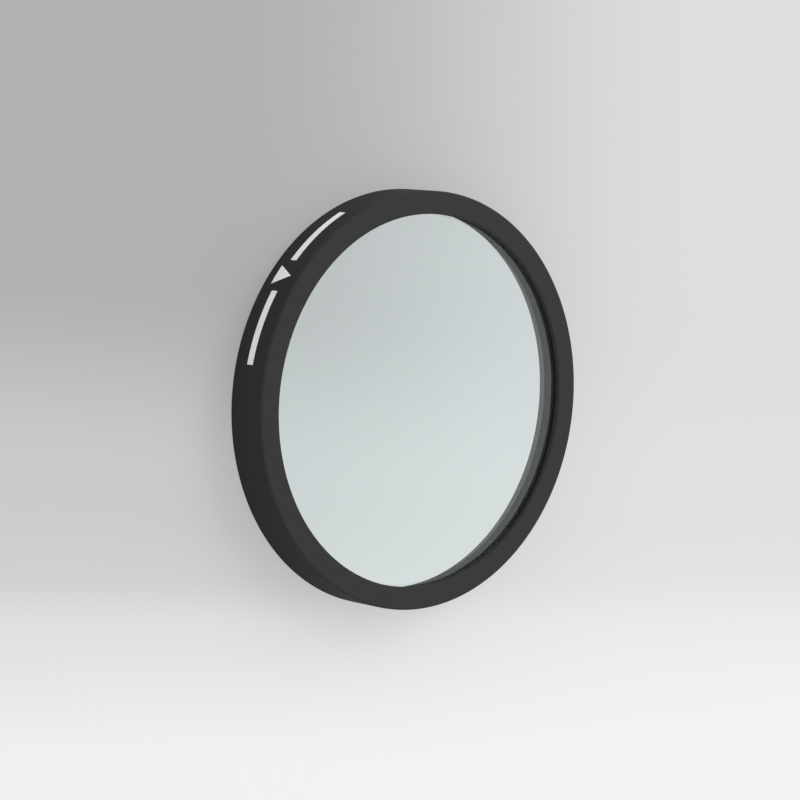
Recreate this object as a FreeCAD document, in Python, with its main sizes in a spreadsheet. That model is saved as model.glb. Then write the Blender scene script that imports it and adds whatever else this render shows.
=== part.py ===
import FreeCAD, Part
import os
import Sketcher

# A mounted astronomy filter with a plain rim, lying on its back face. The origin is the centre
# of the back face, and +Z is the optical axis and points out of the front. All in millimetres.

# Driving dimensions
SIZES = {
    "cell_diameter": 50.0,
    # Rim wall round the threaded bore, radial step from that bore in to the glass seat, and
    # width of the ledge behind the front lip that the glass lies against
    "wall": 1.0,
    "seat_step": 0.3,
    "ledge_width": 1.45,
    "lip_thickness": 0.75,
    # The glass stands a little out of its seat, so that the ring presses on glass alone
    "glass_thickness": 1.15,
    "glass_proud": 0.1,
    "glass_clearance": 0.1,
    "glass_bevel": 0.12,
    # Retaining ring, and how deep it lies below the back face
    "ring_height": 2.85,
    "ring_width": 1.0,
    "ring_recess": 0.85,
    "ring_clearance": 0.1,
    "ring_bevel": 0.15,
    # Spanner slots cut across the ring's rear face
    "slot_width": 1.6,
    "slot_depth": 1.0,
    "slot_angle": 85.0,
    # Broken edges of the cell, and the undercut where the bore's thread runs out
    "front_round": 0.3,
    "aperture_bevel": 0.25,
    "back_bevel": 0.2,
    "bore_bevel": 0.3,
    "relief_depth": 0.25,
    "relief_width": 0.6,
}

# Sizes that follow from them. A rounded or bevelled edge is limited by the wall that it is on.
DERIVED = {
    "cell_radius": "cell_diameter / 2",
    "bore_radius": "cell_radius - wall",
    "seat_radius": "bore_radius - seat_step",
    "aperture_radius": "seat_radius - ledge_width",
    "glass_radius": "seat_radius - glass_clearance",
    "ring_outer": "bore_radius - ring_clearance",
    "ring_inner": "ring_outer - ring_width",
    "relief_radius": "bore_radius + min(relief_depth; 0.5 * wall)",
    "glass_base": "ring_recess + ring_height",
    "seat_base": "glass_base + glass_proud",
    "relief_base": "seat_base - relief_width",
    "lip_base": "glass_base + glass_thickness",
    "cell_height": "lip_base + lip_thickness",
    "front_edge": "min(front_round; 0.6 * lip_thickness)",
    "aperture_edge": "min(aperture_bevel; 0.4 * lip_thickness)",
    "back_edge": "min(back_bevel; 0.3 * wall)",
    "bore_edge": "min(bore_bevel; 0.4 * wall)",
    "ring_edge": "min(ring_bevel; 0.25 * ring_width)",
    "glass_edge": "min(glass_bevel; 0.3 * glass_thickness)",
}

SPANNER_SLOTS = 2
FULL_TURN = 360.0
SAME_PLACE = 1e-4

doc = FreeCAD.newDocument("mounted_filter")
sheet = doc.addObject("Spreadsheet::Sheet", "Sizes")


def fill_sheet():
    """Write every size, driving and derived, under its own name."""
    rows = [(name, str(number)) for name, number in SIZES.items()]
    rows += [(name, "=" + formula) for name, formula in DERIVED.items()]
    for row, (name, text) in enumerate(rows, start=1):
        sheet.set(f"A{row}", name)
        sheet.set(f"B{row}", text)
        sheet.setAlias(f"B{row}", name)
    doc.recompute()


def size(name):
    """The present value of a named size. No name means the origin."""
    return float(sheet.get(name)) if name else 0.0


def bind(item, place, name):
    """Make a property or a constraint follow a named size."""
    item.setExpression(place, "Sizes." + name)


def make_body(label):
    body = doc.addObject("PartDesign::Body", label)
    body.Label = label
    body.Placement = FreeCAD.Placement()
    return body


def origin_part(body, role):
    return next(item for item in body.Origin.OriginFeatures if item.Role == role)


def add_sketch(body, name, plane):
    sketch = body.newObject("Sketcher::SketchObject", name)
    sketch.AttachmentSupport = [(origin_part(body, plane), "")]
    sketch.MapMode = "FlatFace"
    return sketch


def dimension(sketch, constraint, name):
    number = sketch.addConstraint(constraint)
    bind(sketch, f"Constraints[{number}]", name)


def half_section(body, name, corners):
    """A closed section of upright and level sides, each set by a radius or a height.

    A corner is a pair of size names, radius then height, and a height of None is the base.
    """
    sketch = add_sketch(body, name, "XZ_Plane")
    points = [FreeCAD.Vector(size(radius), size(height), 0) for radius, height in corners]
    count = len(corners)
    for side in range(count):
        sketch.addGeometry(Part.LineSegment(points[side], points[(side + 1) % count]), False)
    for side in range(count):
        following = (side + 1) % count
        radius, height = corners[side]
        sketch.addConstraint(Sketcher.Constraint("Coincident", side, 2, following, 1))
        if radius == corners[following][0]:
            sketch.addConstraint(Sketcher.Constraint("Vertical", side))
            offset = Sketcher.Constraint("DistanceX", -1, 1, side, 1, size(radius))
            dimension(sketch, offset, radius)
        elif height is None:
            sketch.addConstraint(Sketcher.Constraint("Horizontal", side))
            sketch.addConstraint(Sketcher.Constraint("PointOnObject", side, 1, -1))
        else:
            sketch.addConstraint(Sketcher.Constraint("Horizontal", side))
            offset = Sketcher.Constraint("DistanceY", -1, 1, side, 1, size(height))
            dimension(sketch, offset, height)
    return sketch


def turn(body, kind, name, section):
    """Turn a half section once round the optical axis, as added or as removed material."""
    feature = body.newObject(kind, name)
    feature.Profile = section
    feature.ReferenceAxis = (origin_part(body, "Z_Axis"), [""])
    feature.Angle = FULL_TURN
    doc.recompute()
    return feature


def round_edges(feature, places):
    """The names of the feature's round edges at these pairs of radius and height."""
    found = []
    for number, edge in enumerate(feature.Shape.Edges, start=1):
        curve = edge.Curve
        if not isinstance(curve, Part.Circle):
            continue
        for radius, height in places:
            same_radius = abs(curve.Radius - size(radius)) < SAME_PLACE
            same_height = abs(curve.Center.z - size(height)) < SAME_PLACE
            if same_radius and same_height:
                found.append(f"Edge{number}")
    if len(found) < len(places):
        raise RuntimeError(f"{feature.Name}: an edge is missing")
    return found


def break_edges(body, kind, name, base, places, amount):
    """Round or bevel the base's edges at these places."""
    feature = body.newObject(kind, name)
    feature.Base = (base, round_edges(base, places))
    bind(feature, "Radius" if kind.endswith("Fillet") else "Size", amount)
    doc.recompute()
    return feature


def must_remove(feature, base):
    """Stop if a cut took nothing away."""
    if feature.Shape.Volume >= base.Shape.Volume:
        raise RuntimeError(f"{feature.Name} removes nothing")


def make_filter_cell():
    """The turned cell: plain rim, thin front lip, glass seat and bore for the retaining ring."""
    body = make_body("filter_cell")
    section = half_section(body, "cell_section", [
        ("cell_radius", None),
        ("cell_radius", "cell_height"),
        ("aperture_radius", "cell_height"),
        ("aperture_radius", "lip_base"),
        ("seat_radius", "lip_base"),
        ("seat_radius", "seat_base"),
        ("bore_radius", "seat_base"),
        ("bore_radius", None),
    ])
    blank = turn(body, "PartDesign::Revolution", "turned_cell", section)
    undercut = half_section(body, "relief_section", [
        ("bore_radius", "relief_base"),
        ("relief_radius", "relief_base"),
        ("relief_radius", "seat_base"),
        ("bore_radius", "seat_base"),
    ])
    relief = turn(body, "PartDesign::Groove", "thread_relief", undercut)
    must_remove(relief, blank)
    mouth = break_edges(body, "PartDesign::Chamfer", "bore_mouth", relief,
                        [("bore_radius", None)], "bore_edge")
    back = break_edges(body, "PartDesign::Chamfer", "rim_back_edge", mouth,
                       [("cell_radius", None)], "back_edge")
    lip = break_edges(body, "PartDesign::Chamfer", "aperture_mouth", back,
                      [("aperture_radius", "cell_height")], "aperture_edge")
    break_edges(body, "PartDesign::Fillet", "rim_front_edge", lip,
                [("cell_radius", "cell_height")], "front_edge")
    return body


def make_filter_glass():
    """The coated pane, a plane-parallel disc with both edges bevelled, against the lip."""
    body = make_body("filter_glass")
    bind(body, "Placement.Base.z", "glass_base")
    outline = add_sketch(body, "pane_outline", "XY_Plane")
    circle = Part.Circle(FreeCAD.Vector(0, 0, 0), FreeCAD.Vector(0, 0, 1), size("glass_radius"))
    outline.addGeometry(circle, False)
    outline.addConstraint(Sketcher.Constraint("Coincident", 0, 3, -1, 1))
    radius = Sketcher.Constraint("Radius", 0, size("glass_radius"))
    dimension(outline, radius, "glass_radius")
    pane = body.newObject("PartDesign::Pad", "pane")
    pane.Profile = outline
    bind(pane, "Length", "glass_thickness")
    doc.recompute()
    break_edges(body, "PartDesign::Chamfer", "pane_bevels", pane,
                [("glass_radius", None), ("glass_radius", "glass_thickness")], "glass_edge")
    return body


def make_slot(body, base):
    """One spanner slot across the ring's rear face, open at both ends."""
    sketch = add_sketch(body, "slot_outline", "XY_Plane")
    inner = size("seat_radius") - size("ledge_width")
    outer = size("cell_radius")
    half = size("slot_width") / 2
    corners = [(inner, -half), (outer, -half), (outer, half), (inner, half)]
    points = [FreeCAD.Vector(across, along, 0) for across, along in corners]
    for side in range(4):
        sketch.addGeometry(Part.LineSegment(points[side], points[(side + 1) % 4]), False)
    for side in range(4):
        sketch.addConstraint(Sketcher.Constraint("Coincident", side, 2, (side + 1) % 4, 1))
    for side, direction in enumerate(("Horizontal", "Vertical", "Horizontal")):
        sketch.addConstraint(Sketcher.Constraint(direction, side))
    sketch.addConstraint(Sketcher.Constraint("Symmetric", 0, 1, 2, 2, -1))
    dimension(sketch, Sketcher.Constraint("DistanceX", -1, 1, 0, 1, inner), "aperture_radius")
    dimension(sketch, Sketcher.Constraint("DistanceX", -1, 1, 0, 2, outer), "cell_radius")
    dimension(sketch, Sketcher.Constraint("DistanceY", 1, 1, 1, 2, 2 * half), "slot_width")
    slot = body.newObject("PartDesign::Pocket", "spanner_slot")
    slot.Profile = sketch
    slot.Reversed = True
    bind(slot, "Length", "slot_depth")
    doc.recompute()
    must_remove(slot, base)
    return slot


def make_retaining_ring():
    """The threaded ring that clamps the glass, with spanner slots in its rear face."""
    body = make_body("retaining_ring")
    bind(body, "Placement.Base.z", "ring_recess")
    bind(body, "Placement.Rotation.Angle", "slot_angle")
    section = half_section(body, "ring_section", [
        ("ring_inner", None),
        ("ring_outer", None),
        ("ring_outer", "ring_height"),
        ("ring_inner", "ring_height"),
    ])
    blank = turn(body, "PartDesign::Revolution", "turned_ring", section)
    edges = [(radius, height) for radius in ("ring_inner", "ring_outer")
             for height in (None, "ring_height")]
    bevelled = break_edges(body, "PartDesign::Chamfer", "ring_bevels", blank, edges, "ring_edge")
    slot = make_slot(body, bevelled)
    slots = body.newObject("PartDesign::PolarPattern", "spanner_slots")
    slots.Originals = [slot]
    slots.Axis = (origin_part(body, "Z_Axis"), [""])
    slots.Angle = FULL_TURN
    slots.Occurrences = SPANNER_SLOTS
    body.Tip = slots
    doc.recompute()
    must_remove(slots, slot)
    return body


def write_parts(bodies):
    """Check the whole model, then write each piece to its own file."""
    doc.recompute()
    for item in doc.Objects:
        if "Invalid" in item.State or "Error" in item.State:
            raise RuntimeError(f"{item.Name} failed: {item.State}")
    os.makedirs("parts", exist_ok=True)
    for body in bodies:
        shape = body.Shape
        if shape.isNull() or not shape.isValid() or len(shape.Solids) != 1:
            raise RuntimeError(f"{body.Label} isn't one sound solid")
        print(body.Label, "volume", round(shape.Volume, 2), "mm3")
    for body in bodies:
        body.Shape.exportStep(f"parts/{body.Label}.step")


fill_sheet()
write_parts([make_filter_cell(), make_filter_glass(), make_retaining_ring()])
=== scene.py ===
import math

import bmesh
import bpy
from mathutils import Matrix, Vector


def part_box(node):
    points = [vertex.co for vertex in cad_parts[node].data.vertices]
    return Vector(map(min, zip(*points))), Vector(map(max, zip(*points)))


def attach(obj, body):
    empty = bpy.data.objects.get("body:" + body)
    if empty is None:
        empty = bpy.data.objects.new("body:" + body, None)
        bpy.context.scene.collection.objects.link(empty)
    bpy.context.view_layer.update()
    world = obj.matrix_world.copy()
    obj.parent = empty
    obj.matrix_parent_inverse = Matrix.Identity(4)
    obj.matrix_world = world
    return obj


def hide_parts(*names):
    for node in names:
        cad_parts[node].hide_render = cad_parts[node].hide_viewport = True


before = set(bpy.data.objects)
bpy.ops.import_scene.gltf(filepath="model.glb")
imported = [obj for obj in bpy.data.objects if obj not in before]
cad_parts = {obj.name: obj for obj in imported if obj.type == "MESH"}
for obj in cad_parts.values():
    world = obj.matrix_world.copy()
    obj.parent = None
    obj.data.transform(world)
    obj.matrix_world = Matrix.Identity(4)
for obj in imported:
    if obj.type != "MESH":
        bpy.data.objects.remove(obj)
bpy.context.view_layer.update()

MM = 0.001
TURN = 2 * math.pi

# The part lies on its back face and +Z is its optical axis. In the picture it appears upright:
# its face is turned to the picture's right and is seen from a little above.
FACE_TURN = math.radians(41.691)
FACE_TIP = math.radians(5.269)
CAMERA_DISTANCE = 378.09 * MM
CAMERA_RIGHT = -2.941 * MM
CAMERA_UP = 0.174 * MM
LENS = 143.24
SENSOR = 36.0


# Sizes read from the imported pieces

def heights(node):
    """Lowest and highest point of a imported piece."""
    low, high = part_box(node)
    return low[2], high[2]


def least_radius(node, low, high):
    """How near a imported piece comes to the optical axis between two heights."""
    points = [v.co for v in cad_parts[node].data.vertices]
    return min(p.xy.length for p in points if low < p.z < high)


def greatest_radius(node):
    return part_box(node)[1][0]


RIM_RADIUS = greatest_radius("filter_cell")
CELL_BACK, CELL_FRONT = heights("filter_cell")
GLASS_RADIUS = greatest_radius("filter_glass")
GLASS_BACK, GLASS_FRONT = heights("filter_glass")
RING_RADIUS = max(v.co.xy.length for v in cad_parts["retaining_ring"].data.vertices)
RING_BACK, RING_FRONT = heights("retaining_ring")
APERTURE = least_radius("filter_cell", GLASS_FRONT, CELL_FRONT)
RING_BORE = least_radius("retaining_ring", RING_BACK, RING_FRONT)
CLEARANCE = 0.1 * MM
BORE = RING_RADIUS + CLEARANCE
SEAT = GLASS_RADIUS + CLEARANCE
SEAT_BASE = GLASS_BACK + CLEARANCE
RELIEF_DEPTH = 0.25 * MM
RELIEF_LENGTH = 0.6 * MM
RELIEF = BORE + RELIEF_DEPTH
RELIEF_BASE = SEAT_BASE - RELIEF_LENGTH
FRONT_ROUND = 0.3 * MM
APERTURE_ROUND = 0.25 * MM
BACK_BEVEL = 0.2 * MM
BORE_BEVEL = 0.3 * MM
RING_BEVEL = 0.15 * MM
GLASS_BEVEL = 0.12 * MM
BROKEN_EDGE = 0.05 * MM

# Where the lip and the ring stand off the glass, next to their inner edges
LIP_RELIEF_HEIGHT = 0.2 * MM
LIP_RELIEF_WIDTH = 0.4 * MM
RING_RELIEF_HEIGHT = 0.2 * MM
RING_RELIEF_WIDTH = 0.25 * MM

THREAD_PITCH = 0.5 * MM
THREAD_DEPTH = 0.27 * MM
# Where a flank of the thread's groove starts and ends, in pitches from the middle of a crest
THREAD_FLANK = (0.1, 0.42)
SLOT_WIDTH = 1.6 * MM
SLOT_DEPTH = 1.0 * MM
SLOT_ANGLE = math.radians(85)

# The white print on the rim: where its middle is, its length round the rim, its height, the
# width of its bars, the gap beside its triangle, and how the ink stands on the rim
PRINT_ANGLE = math.radians(145)
PRINT_LENGTH = 22.6 * MM
PRINT_MIDDLE = 2.75 * MM
PRINT_HEIGHT = 2.6 * MM
PRINT_BAR = 1.0 * MM
PRINT_GAP = 0.9 * MM
PRINT_LIFT = 0.012 * MM
PRINT_SINK = 0.01 * MM
PRINT_STEP = 0.3 * MM

STEPS_ROUND = 360
ARC_STEPS = 8
EDGE_STEPS = 3
EDGE_SUPPORT = 0.02 * MM
ROWS_PER_PITCH = 14
WELD = 0.0005 * MM
SHARP_EDGE = math.radians(30)

# The size of the grain in each finish: the blasted metal's with the depth of its bump, the ink's,
# and that of the film on the glass
BLAST_GRAIN = 0.15 * MM
BLAST_DEPTH = 0.01 * MM
INK_GRAIN = 0.4 * MM
FILM_GRAIN = 30 * MM

# The board's tones, which paint a light falloff on it: its two greys of painted shade and where
# they lie across it, its two whites of painted light, how far the painted light has turned it
# white down the picture, and its plain tone outside the picture, which turns white towards the
# horizon. Then the share of plain colour in what the camera, a reflection and glass see of it,
# and the grey with which it lights the part.
BOARD_PAINTED_SHADE_GREYS = ((0.0, "#adadad"), (1.0, "#d7d7d7"))
BOARD_ACROSS = (-30 * MM, 52 * MM)
BOARD_PAINTED_LIGHT_WHITES = ((0.55, "#dfdfdf"), (0.85, "#ededed"))
BOARD_LEVEL = (0.043, 1.0, 0.0)
BOARD_DOWN = (25 * MM, -45 * MM)
BOARD_PAINTED_LIGHT_REACH = ((0.18, 0.0), (0.52, 0.47), (0.66, 0.53), (0.76, 0.75), (1.0, 1.0))
BOARD_OUTER_TONES = ((0.0, "#dcdcdc"), (1.0, "#ffffff"))
BOARD_OUTSIDE = (100 * MM, 220 * MM)
BOARD_HORIZON = (300 * MM, 2000 * MM)
BOARD_PLAIN = (0.66, 0.0, 0.97)
BOARD_BOUNCE = "#b4b4b4"

# The share of light that the glass mirrors where it falls straight on it, and the power with
# which that share grows to all of the light where it grazes the glass
GLASS_MIRRORS = 0.04
GLASS_GRAZING = 5.0

# Where a colour mix has its factor, its two colours and its result, among sockets with like names
MIX_FACTOR, MIX_FIRST, MIX_SECOND, MIX_RESULT = 0, 6, 7, 2


# Colours and nodes

def linear(code):
    """An sRGB hex colour as linear red, green, blue and alpha."""
    channels = [int(code[place:place + 2], 16) / 255 for place in (1, 3, 5)]
    bent = [c / 12.92 if c <= 0.04045 else ((c + 0.055) / 1.055) ** 2.4 for c in channels]
    return (*bent, 1.0)


def add(tree, kind, inputs=None, stops=(), **settings):
    """Add a node with its settings and links.

    Each input takes a value, an output, or a node, of which it reads the first output. Stops are
    a ramp's places from 0 to 1, each with its hex colour or its grey level.
    """
    node = tree.nodes.new(kind)
    for name, setting in settings.items():
        setattr(node, name, setting)
    for number, (place, colour) in enumerate(stops):
        ramp = node.color_ramp
        ramp.interpolation = "EASE"
        stop = ramp.elements[number] if number < 2 else ramp.elements.new(place)
        stop.position = place
        stop.color = linear(colour) if isinstance(colour, str) else (colour, colour, colour, 1)
    for name, source in (inputs or {}).items():
        if isinstance(source, bpy.types.Node):
            source = source.outputs[0]
        if isinstance(source, bpy.types.NodeSocket):
            tree.links.new(source, node.inputs[name])
        else:
            node.inputs[name].default_value = source
    return node


def new_material(name):
    material = bpy.data.materials.new(name)
    material.use_nodes = True
    material.node_tree.nodes.clear()
    return material, material.node_tree


def object_noise(tree, size, detail=0.0):
    """Noise with lumps of a real size."""
    place = add(tree, "ShaderNodeTexCoord")
    noise = add(tree, "ShaderNodeTexNoise", {
        "Vector": place.outputs["Object"], "Scale": 1 / size, "Detail": detail})
    return noise.outputs["Fac"]


def anodised_aluminium(name, dark, pale, roughness, shine):
    """Bead-blasted, black anodised aluminium: a charcoal black, almost matt, with a fine grain."""
    material, tree = new_material(name)
    grain = object_noise(tree, BLAST_GRAIN, detail=2.0)
    tone = add(tree, "ShaderNodeValToRGB", {"Fac": grain}, stops=((0.3, dark), (0.7, pale)))
    bump = add(tree, "ShaderNodeBump", {
        "Height": grain, "Strength": 0.12, "Distance": BLAST_DEPTH})
    shader = add(tree, "ShaderNodeBsdfPrincipled", {
        "Base Color": tone, "Normal": bump, "Roughness": roughness, "Specular IOR Level": shine})
    add(tree, "ShaderNodeOutputMaterial", {"Surface": shader})
    return material


def white_ink():
    """Pad-printed white ink: matt, nearly white, with slight unevenness in its cover."""
    material, tree = new_material("pad_printed_white_ink")
    cover = object_noise(tree, INK_GRAIN, detail=2.0)
    tone = add(tree, "ShaderNodeValToRGB", {"Fac": cover},
               stops=((0.0, "#f9f9f9"), (1.0, "#fdfdfd")))
    shader = add(tree, "ShaderNodeBsdfPrincipled", {
        "Base Color": tone, "Roughness": 0.5, "Specular IOR Level": 0.5})
    add(tree, "ShaderNodeOutputMaterial", {"Surface": shader})
    return material


def coated_glass():
    """Polished and coated optical glass: clear, faintly green-blue, with sharp reflections.

    Light that the metal gathers passes straight through it or is mirrored by it, and the lamps
    shine straight through.
    """
    material, tree = new_material("coated_optical_glass")
    film = object_noise(tree, FILM_GRAIN)
    tint = add(tree, "ShaderNodeValToRGB", {"Fac": film},
               stops=((0.0, "#f5feff"), (1.0, "#f6ffff")))
    pane = add(tree, "ShaderNodeBsdfPrincipled", {
        "Base Color": tint, "Roughness": 0.0, "IOR": 1.5, "Transmission Weight": 1.0})
    passed = add(tree, "ShaderNodeValToRGB", {"Fac": film},
                 stops=((0.0, "#f5fbfb"), (1.0, "#f6fbfa")))
    clear = add(tree, "ShaderNodeBsdfTransparent", {"Color": passed})
    mirror = add(tree, "ShaderNodeBsdfAnisotropic", {"Color": linear("#ffffff"), "Roughness": 0.0})
    slant = add(tree, "ShaderNodeLayerWeight", {"Blend": 0.5})
    grazing = add(tree, "ShaderNodeMath", {0: slant.outputs["Facing"], 1: GLASS_GRAZING},
                  operation="POWER")
    mirrored = add(tree, "ShaderNodeMath", {0: grazing, 1: 1 - GLASS_MIRRORS, 2: GLASS_MIRRORS},
                   operation="MULTIPLY_ADD")
    lighting = add(tree, "ShaderNodeMixShader", {"Fac": mirrored, 1: clear, 2: mirror})
    path = add(tree, "ShaderNodeLightPath")
    seen = add(tree, "ShaderNodeMixShader", {
        "Fac": path.outputs["Is Diffuse Ray"], 1: pane, 2: lighting})
    glass = add(tree, "ShaderNodeMixShader", {
        "Fac": path.outputs["Is Shadow Ray"], 1: seen, 2: clear})
    add(tree, "ShaderNodeOutputMaterial", {"Surface": glass})
    return material


def seen_directly(tree, camera=1.0, mirrored=1.0, through_glass=1.0):
    """How far this shows its plain colour to the camera, a reflection and glass.

    It is 0 where this lights something.
    """
    path = add(tree, "ShaderNodeLightPath")
    seen = add(tree, "ShaderNodeMath", {0: path.outputs["Is Camera Ray"], 1: camera},
               operation="MULTIPLY")
    for ray, share in (("Is Glossy Ray", mirrored), ("Is Transmission Ray", through_glass)):
        part = add(tree, "ShaderNodeMath", {0: path.outputs[ray], 1: share}, operation="MULTIPLY")
        seen = add(tree, "ShaderNodeMath", {0: seen, 1: part}, operation="MAXIMUM")
    return seen


def pale_board():
    """Matt pale board with a painted light falloff: painted shade greys it at the picture's upper
    left, and painted light makes it near white along its bottom.

    Most of what is seen of it glows with its own plain colour, painted falloff included, so that
    the shadows on it stay soft. It turns to one even tone outside the picture, and lights the part
    with one even grey.
    """
    material, tree = new_material("pale_studio_board")
    place = add(tree, "ShaderNodeTexCoord").outputs["Object"]
    split = add(tree, "ShaderNodeSeparateXYZ", {"Vector": place})
    level = add(tree, "ShaderNodeVectorMath", {0: place, 1: BOARD_LEVEL}, operation="DOT_PRODUCT")
    distance = add(tree, "ShaderNodeVectorMath", {0: place}, operation="LENGTH")
    across, down, outside, horizon = [
        add(tree, "ShaderNodeMapRange", {"Value": value, "From Min": start, "From Max": end})
        for value, (start, end) in (
            (split.outputs["X"], BOARD_ACROSS),
            (level.outputs["Value"], BOARD_DOWN),
            (distance.outputs["Value"], BOARD_OUTSIDE),
            (distance.outputs["Value"], BOARD_HORIZON),
        )]
    # Painted light falloff: the greys are painted shade towards the picture's upper left, and the
    # whites are painted light along its bottom.
    grey = add(tree, "ShaderNodeValToRGB", {"Fac": across}, stops=BOARD_PAINTED_SHADE_GREYS)
    white = add(tree, "ShaderNodeValToRGB", {"Fac": down}, stops=BOARD_PAINTED_LIGHT_WHITES)
    turned = add(tree, "ShaderNodeValToRGB", {"Fac": down}, stops=BOARD_PAINTED_LIGHT_REACH)
    far = add(tree, "ShaderNodeValToRGB", {"Fac": horizon}, stops=BOARD_OUTER_TONES)
    near = add(tree, "ShaderNodeMix", {MIX_FACTOR: turned, MIX_FIRST: grey, MIX_SECOND: white},
               data_type="RGBA").outputs[MIX_RESULT]
    tone = add(tree, "ShaderNodeMix", {MIX_FACTOR: outside, MIX_FIRST: near, MIX_SECOND: far},
               data_type="RGBA").outputs[MIX_RESULT]
    lit_tone = add(tree, "ShaderNodeMix", {
        MIX_FACTOR: seen_directly(tree), MIX_FIRST: linear(BOARD_BOUNCE), MIX_SECOND: tone},
        data_type="RGBA").outputs[MIX_RESULT]
    matt = add(tree, "ShaderNodeBsdfPrincipled", {
        "Base Color": lit_tone, "Roughness": 0.8, "Specular IOR Level": 0.1})
    plain = add(tree, "ShaderNodeEmission", {"Color": tone, "Strength": 1.0})
    board = add(tree, "ShaderNodeMixShader", {
        "Fac": seen_directly(tree, *BOARD_PLAIN), 1: matt, 2: plain})
    add(tree, "ShaderNodeOutputMaterial", {"Surface": board})
    return material


# Camera, floor and light

def part_axes_in_picture():
    """The part's X, Y and Z as they lie in the picture: right, up, and towards the camera."""
    axis = Vector((
        math.sin(FACE_TURN) * math.cos(FACE_TIP),
        -math.sin(FACE_TIP),
        math.cos(FACE_TURN) * math.cos(FACE_TIP),
    ))
    upright = Vector((0, 1, 0))
    up = (upright - axis * upright.dot(axis)).normalized()
    return up.cross(axis), up, axis


def show(name, data):
    """Put a new object with this data in the scene."""
    item = bpy.data.objects.new(name, data)
    bpy.context.scene.collection.objects.link(item)
    return item


def make_camera():
    camera = show("camera", bpy.data.cameras.new("camera"))
    camera.data.lens = LENS
    camera.data.sensor_width = SENSOR
    camera.data.clip_start = 10 * MM
    camera.data.clip_end = 20.0
    turned = Matrix(part_axes_in_picture())
    place = Vector((0, 0, CELL_FRONT)) + turned @ Vector((CAMERA_RIGHT, CAMERA_UP, CAMERA_DISTANCE))
    camera.matrix_world = Matrix.Translation(place) @ turned.to_4x4()
    bpy.context.scene.camera = camera


def make_floor(half_width=3.0):
    corners = [(-half_width, -half_width, 0), (half_width, -half_width, 0),
               (half_width, half_width, 0), (-half_width, half_width, 0)]
    mesh = bpy.data.meshes.new("floor")
    mesh.from_pydata(corners, [], [(0, 1, 2, 3)])
    mesh.materials.append(pale_board())
    show("floor", mesh)


def make_softbox(name, direction, distance, width, level, mirrored):
    """A square lamp that points at the part from a direction.

    A level of 1 looks as bright as white. A lamp that isn't mirrored lights the part, but leaves
    no white glare on the glass.
    """
    lamp = bpy.data.lights.new(name, "AREA")
    lamp.size = width
    lamp.energy = level * math.pi * width ** 2
    holder = show(name, lamp)
    holder.location = Vector(direction).normalized() * distance
    holder.rotation_mode = "QUATERNION"
    holder.rotation_quaternion = holder.location.to_track_quat("Z", "Y")
    holder.visible_glossy = mirrored


def make_world(strength):
    """An even white room, at full white where the camera, a reflection or glass sees it."""
    world = bpy.data.worlds.new("white_room")
    world.use_nodes = True
    tree = world.node_tree
    tree.nodes.clear()
    level = add(tree, "ShaderNodeMapRange", {
        "Value": seen_directly(tree), "To Min": strength, "To Max": 1.0})
    light = add(tree, "ShaderNodeBackground", {"Color": linear("#ffffff"), "Strength": level})
    add(tree, "ShaderNodeOutputWorld", {"Surface": light})
    bpy.context.scene.world = world


# Sections of the turned pieces, as corners of radius, height and edge radius

def rounded(corners, closed=True):
    """The corners' outline, with each corner that has an edge radius drawn as an arc.

    A point close to each end of an arc keeps the flat sides beside it flat to the eye.
    """
    points = []
    count = len(corners)
    for number, (radius, height, edge) in enumerate(corners):
        corner = Vector((radius, height))
        at_end = not closed and number in (0, count - 1)
        if edge == 0 or at_end:
            points.append(corner)
            continue
        before = Vector(corners[number - 1][:2]) - corner
        after = Vector(corners[(number + 1) % count][:2]) - corner
        half = before.angle(after) / 2
        before.normalize()
        after.normalize()
        reach = edge / math.tan(half)
        centre = corner + (before + after).normalized() * edge / math.sin(half)
        start = corner + before * reach - centre
        sweep = start.angle_signed(corner + after * reach - centre)
        steps = ARC_STEPS if edge > BROKEN_EDGE else EDGE_STEPS
        points.append(corner + before * (reach + EDGE_SUPPORT))
        for step in range(steps + 1):
            points.append(centre + Matrix.Rotation(-sweep * step / steps, 2) @ start)
        points.append(corner + after * (reach + EDGE_SUPPORT))
    return points


def with_rows(points, low, high, spacing):
    """The outline with more points wherever a side runs within the bore's thread."""
    rows = []
    for start, end in zip(points, points[1:] + points[:1]):
        rows.append(start)
        in_bore = (BORE - BROKEN_EDGE < min(start.x, end.x)
                   and max(start.x, end.x) < RELIEF + BROKEN_EDGE)
        if in_bore and low <= min(start.y, end.y) and max(start.y, end.y) <= high:
            count = int((end - start).length / spacing)
            rows += [start.lerp(end, step / (count + 1)) for step in range(1, count + 1)]
    return rows


def section_object(name, points, closed):
    """The outline as edges, laid out for the lathe: across from the path, and along the axis."""
    mesh = bpy.data.meshes.new(name)
    spots = [(point.x - RIM_RADIUS, -point.y, 0) for point in reversed(points)]
    ends = list(range(1, len(spots))) + ([0] if closed else [])
    mesh.from_pydata(spots, [(start, end) for start, end in enumerate(ends)], [])
    return show(name, mesh)


# Geometry trees

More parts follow.
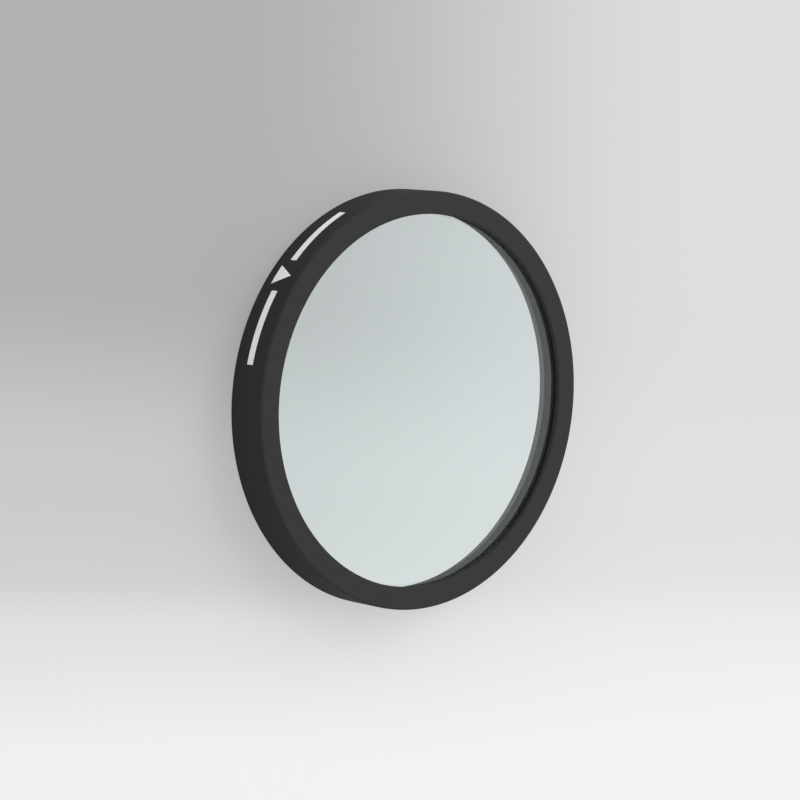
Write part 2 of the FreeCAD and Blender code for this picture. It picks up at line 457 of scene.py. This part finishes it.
def lathe_tree(name, material, sizes, extra):
    """A tree that turns a section once round the optical axis, then runs an extra step if given.

    Its sizes are named inputs, which the extra step reads too.
    """
    tree = bpy.data.node_groups.new(name, "GeometryNodeTree")
    kinds = {"Section": "NodeSocketGeometry", "Steps": "NodeSocketInt"}
    inputs = {}
    for label in ("Section", *sizes):
        socket = tree.interface.new_socket(
            label, in_out="INPUT", socket_type=kinds.get(label, "NodeSocketFloat"))
        inputs[label] = socket.identifier
    tree.interface.new_socket("Piece", in_out="OUTPUT", socket_type="NodeSocketGeometry")
    given = tree.nodes.new("NodeGroupInput").outputs
    path = add(tree, "GeometryNodeCurvePrimitiveCircle", {
        "Resolution": given["Steps"], "Radius": given["Path Radius"]})
    section = add(tree, "GeometryNodeMeshToCurve", {"Mesh": given["Section"]})
    turned = add(tree, "GeometryNodeCurveToMesh", {"Curve": path, "Profile Curve": section})
    piece = add(tree, "GeometryNodeMergeByDistance", {"Geometry": turned, "Distance": WELD})
    if extra:
        piece = extra(tree, piece, given)
    real = add(tree, "GeometryNodeRealizeInstances", {"Geometry": piece})
    dressed = add(tree, "GeometryNodeSetMaterial", {"Geometry": real, "Material": material})
    add(tree, "NodeGroupOutput", {"Piece": dressed})
    return tree, inputs


def bake_piece(holder, tree, inputs, sizes, name, material):
    """Run the tree on the object and keep the result as a plain mesh."""
    modifier = holder.modifiers.new(name, "NODES")
    modifier.node_group = tree
    for label, size in sizes.items():
        modifier[inputs[label]] = size
    depsgraph = bpy.context.evaluated_depsgraph_get()
    mesh = bpy.data.meshes.new_from_object(holder.evaluated_get(depsgraph))
    mesh.name = name
    mesh.materials.clear()
    mesh.materials.append(material)
    bpy.data.objects.remove(holder)
    mesh.shade_smooth()
    mesh.set_sharp_from_angle(angle=SHARP_EDGE)
    return show(name, mesh)


def turn_piece(name, node, points, material, extra=None, extra_sizes=None, closed=True):
    """Make a finished turned piece that stands for a packed one."""
    sizes = {"Steps": STEPS_ROUND, "Path Radius": RIM_RADIUS, **(extra_sizes or {})}
    tree, inputs = lathe_tree(name + "_lathe", material, sizes, extra)
    holder = section_object(name + "_section", points, closed)
    piece = bake_piece(holder, tree, inputs, sizes, name, material)
    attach(piece, "root")
    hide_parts(node)


def cut_thread(tree, piece, given):
    """Sink a helical groove into the bore, up to the relief, and out through its mouth."""
    place = add(tree, "GeometryNodeInputPosition")
    across, along, height = add(tree, "ShaderNodeSeparateXYZ", {"Vector": place}).outputs
    flat = add(tree, "ShaderNodeCombineXYZ", {"X": across, "Y": along})
    radius = add(tree, "ShaderNodeVectorMath", {0: flat}, operation="LENGTH").outputs["Value"]
    outward = add(tree, "ShaderNodeVectorMath", {0: flat}, operation="NORMALIZE")
    angle = add(tree, "ShaderNodeMath", {0: along, 1: across}, operation="ARCTAN2")
    turns = add(tree, "ShaderNodeMath", {0: angle, 1: TURN}, operation="DIVIDE")
    pitches = add(tree, "ShaderNodeMath", {0: height, 1: given["Thread Pitch"]}, operation="DIVIDE")
    phase = add(tree, "ShaderNodeMath", {0: pitches, 1: turns}, operation="SUBTRACT")
    wave = add(tree, "ShaderNodeMath", {0: phase, 1: 0.5}, operation="PINGPONG")
    groove = add(tree, "ShaderNodeMapRange", {
        "Value": wave, "From Min": THREAD_FLANK[0], "From Max": THREAD_FLANK[1],
        "To Max": given["Thread Depth"]})
    wall = add(tree, "ShaderNodeMath", {0: groove, 1: given["Bore Radius"]}, operation="ADD")
    gap = add(tree, "ShaderNodeMath", {0: wall, 1: radius}, operation="SUBTRACT")
    sink = add(tree, "ShaderNodeMath", {0: gap, 1: 0.0}, operation="MAXIMUM")
    in_bore = add(tree, "ShaderNodeMath", {0: radius, 1: given["Thread Reach"]},
                  operation="LESS_THAN")
    below_relief = add(tree, "ShaderNodeMath", {0: height, 1: given["Thread Top"]},
                       operation="LESS_THAN")
    share = add(tree, "ShaderNodeMath", {0: in_bore, 1: below_relief}, operation="MULTIPLY")
    depth = add(tree, "ShaderNodeMath", {0: sink, 1: share}, operation="MULTIPLY")
    move = add(tree, "ShaderNodeVectorMath", {0: outward, "Scale": depth}, operation="SCALE")
    return add(tree, "GeometryNodeSetPosition", {"Geometry": piece, "Offset": move})


def cut_slots(tree, piece, given):
    """Two spanner slots across the ring's rear face, opposite each other.

    The cutters stand half outside the face, so that they leave no skin on it.
    """
    far_side = add(tree, "ShaderNodeMath", {0: given["Slot Reach"], 1: -1.0}, operation="MULTIPLY")
    start = add(tree, "ShaderNodeCombineXYZ", {"X": far_side, "Z": given["Slot Face"]})
    end = add(tree, "ShaderNodeCombineXYZ", {"X": given["Slot Reach"], "Z": given["Slot Face"]})
    ends = add(tree, "GeometryNodeMeshLine", {"Count": 2, "Start Location": start, "Offset": end},
               mode="END_POINTS")
    height = add(tree, "ShaderNodeMath", {0: given["Slot Depth"], 1: 2.0}, operation="MULTIPLY")
    size = add(tree, "ShaderNodeCombineXYZ", {
        "X": given["Slot Length"], "Y": given["Slot Width"], "Z": height})
    cutter = add(tree, "GeometryNodeMeshCube", {"Size": size})
    pair = add(tree, "GeometryNodeInstanceOnPoints", {"Points": ends, "Instance": cutter})
    round_axis = add(tree, "ShaderNodeCombineXYZ", {"Z": given["Slot Angle"]})
    turned = add(tree, "GeometryNodeTransform", {"Geometry": pair, "Rotation": round_axis})
    real = add(tree, "GeometryNodeRealizeInstances", {"Geometry": turned})
    return add(tree, "GeometryNodeMeshBoolean", {"Mesh 1": piece, "Mesh 2": real},
               operation="DIFFERENCE")


def make_rim_print(material):
    """A triangle towards the front between two plain bars, as a thin layer of white ink."""
    bar = (PRINT_MIDDLE - PRINT_BAR / 2, PRINT_MIDDLE + PRINT_BAR / 2)
    foot, tip = PRINT_MIDDLE - PRINT_HEIGHT / 2, PRINT_MIDDLE + PRINT_HEIGHT / 2
    half, near, far = PRINT_HEIGHT / 2, PRINT_HEIGHT / 2 + PRINT_GAP, PRINT_LENGTH / 2
    shapes = [
        [(-far, *bar), (-near, *bar)],
        [(near, *bar), (far, *bar)],
        [(-half, foot, foot), (0, foot, tip), (half, foot, foot)],
    ]
    build = bmesh.new()
    for stations in shapes:
        rows = []
        for (start, *first), (end, *last) in zip(stations, stations[1:]):
            steps = max(1, math.ceil((end - start) / PRINT_STEP))
            for step in range(steps + 1):
                along = step / steps
                angle = PRINT_ANGLE - (start + (end - start) * along) / RIM_RADIUS
                low, high = (a + (b - a) * along for a, b in zip(first, last))
                cos, sin = math.cos(angle), math.sin(angle)
                rows.append([build.verts.new((radius * cos, radius * sin, z))
                             for radius in (RIM_RADIUS - PRINT_SINK, RIM_RADIUS + PRINT_LIFT)
                             for z in (low, high)])
        for row, following in zip(rows, rows[1:]):
            for one, two in ((0, 1), (1, 3), (3, 2), (2, 0)):
                build.faces.new((row[one], row[two], following[two], following[one]))
        for row in (rows[0], rows[-1]):
            build.faces.new((row[0], row[1], row[3], row[2]))
    bmesh.ops.remove_doubles(build, verts=build.verts, dist=WELD)
    bmesh.ops.dissolve_degenerate(build, edges=build.edges, dist=WELD)
    bmesh.ops.recalc_face_normals(build, faces=build.faces)
    mesh = bpy.data.meshes.new("rim_print")
    build.to_mesh(mesh)
    build.free()
    mesh.materials.append(material)
    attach(show("rim_print", mesh), "root")


# The pieces

def make_cell(material):
    """The cell, turned from one piece, with its bore's fine thread.

    Beside the aperture its lip stands off the glass by a narrow step.
    """
    outline = rounded([
        (RIM_RADIUS - BACK_BEVEL, CELL_BACK, BROKEN_EDGE),
        (RIM_RADIUS, CELL_BACK + BACK_BEVEL, BROKEN_EDGE),
        (RIM_RADIUS, CELL_FRONT, FRONT_ROUND),
        (APERTURE, CELL_FRONT, APERTURE_ROUND),
        (APERTURE, GLASS_FRONT + LIP_RELIEF_HEIGHT, 0),
        (APERTURE + LIP_RELIEF_WIDTH, GLASS_FRONT + LIP_RELIEF_HEIGHT, 0),
        (APERTURE + LIP_RELIEF_WIDTH, GLASS_FRONT, 0),
        (SEAT, GLASS_FRONT, 0),
        (SEAT, SEAT_BASE, 0),
        (RELIEF, SEAT_BASE, 0),
        (RELIEF, RELIEF_BASE, 0),
        (BORE, RELIEF_BASE, 0),
        (BORE, CELL_BACK + BORE_BEVEL, 0),
        (BORE + BORE_BEVEL, CELL_BACK, 0),
    ])
    outline = with_rows(outline, CELL_BACK, RELIEF_BASE, THREAD_PITCH / ROWS_PER_PITCH)
    turn_piece("turned_cell", "filter_cell", outline, material, cut_thread, {
        "Thread Pitch": THREAD_PITCH,
        "Thread Depth": THREAD_DEPTH,
        "Bore Radius": BORE,
        "Thread Reach": RELIEF + BROKEN_EDGE,
        "Thread Top": RELIEF_BASE - BROKEN_EDGE,
    })


def make_pane(material):
    """The glass pane, with its ground edge bevels."""
    outline = rounded([
        (0, GLASS_BACK, 0),
        (GLASS_RADIUS - GLASS_BEVEL, GLASS_BACK, 0),
        (GLASS_RADIUS, GLASS_BACK + GLASS_BEVEL, 0),
        (GLASS_RADIUS, GLASS_FRONT - GLASS_BEVEL, 0),
        (GLASS_RADIUS - GLASS_BEVEL, GLASS_FRONT, 0),
        (0, GLASS_FRONT, 0),
    ], closed=False)
    turn_piece("glass_pane", "filter_glass", outline, material, closed=False)


def make_ring(material):
    """The retaining ring with its spanner slots, bevelled but for the inner edge at the glass.

    There it stands off the glass by a narrow step. The slots' cutters are longer than its wall is
    thick, so that they run out on both sides.
    """
    outline = rounded([
        (RING_RADIUS - RING_BEVEL, RING_BACK, BROKEN_EDGE),
        (RING_RADIUS, RING_BACK + RING_BEVEL, BROKEN_EDGE),
        (RING_RADIUS, RING_FRONT - RING_BEVEL, BROKEN_EDGE),
        (RING_RADIUS - RING_BEVEL, RING_FRONT, BROKEN_EDGE),
        (RING_BORE + RING_RELIEF_WIDTH, RING_FRONT, 0),
        (RING_BORE + RING_RELIEF_WIDTH, RING_FRONT - RING_RELIEF_HEIGHT, 0),
        (RING_BORE, RING_FRONT - RING_RELIEF_HEIGHT, 0),
        (RING_BORE, RING_BACK + RING_BEVEL, BROKEN_EDGE),
        (RING_BORE + RING_BEVEL, RING_BACK, BROKEN_EDGE),
    ])
    turn_piece("slotted_ring", "retaining_ring", outline, material, cut_slots, {
        "Slot Width": SLOT_WIDTH,
        "Slot Depth": SLOT_DEPTH,
        "Slot Length": 3 * (RING_RADIUS - RING_BORE),
        "Slot Reach": (RING_BORE + RING_RADIUS) / 2,
        "Slot Face": RING_BACK,
        "Slot Angle": SLOT_ANGLE,
    })


make_camera()
make_floor()
make_softbox("face_softbox", direction=(0.665, -0.07, 0.744), distance=0.7, width=0.4, level=0.55,
             mirrored=True)
make_softbox("upper_softbox", direction=(0.5, 0.6, 0.62), distance=0.8, width=0.5, level=4.0,
             mirrored=False)
make_world(strength=0.85)
bpy.context.scene.view_settings.view_transform = "Standard"

make_cell(anodised_aluminium(
    "bead_blasted_black_anodised", dark="#323232", pale="#373737", roughness=0.65, shine=0.045))
make_ring(anodised_aluminium(
    "matt_black_anodised", dark="#3a3a3a", pale="#3e3e3e", roughness=0.6, shine=0.08))
make_pane(coated_glass())
make_rim_print(white_ink())
